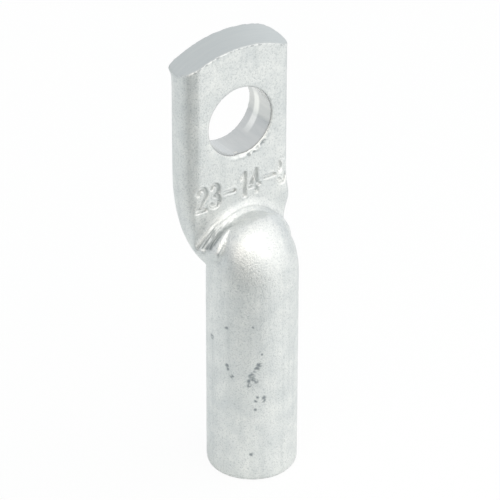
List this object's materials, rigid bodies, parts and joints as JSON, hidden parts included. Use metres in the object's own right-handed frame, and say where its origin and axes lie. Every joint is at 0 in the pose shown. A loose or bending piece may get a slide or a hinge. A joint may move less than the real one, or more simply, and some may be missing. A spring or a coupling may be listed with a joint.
{
  "type": "cable lug",
  "caption": "Aluminium compression cable lug with a round barrel for the conductor and a flat pressed palm with a stud hole.",
  "frame": {"origin": "centre of the barrel's open end, on the bore's axis", "axes": "+Z along the barrel towards the palm, +Y towards the palm's contact face, -Y towards the domed shoulder, X across the palm"},
  "size_m": [0.0188, 0.0163, 0.0699],
  "materials": {
    "aluminium": "bare tumbled aluminium, matt and finely grained"
  },
  "bodies": {
    "root": {"lug_body": "aluminium"}
  },
  "joints": []
}
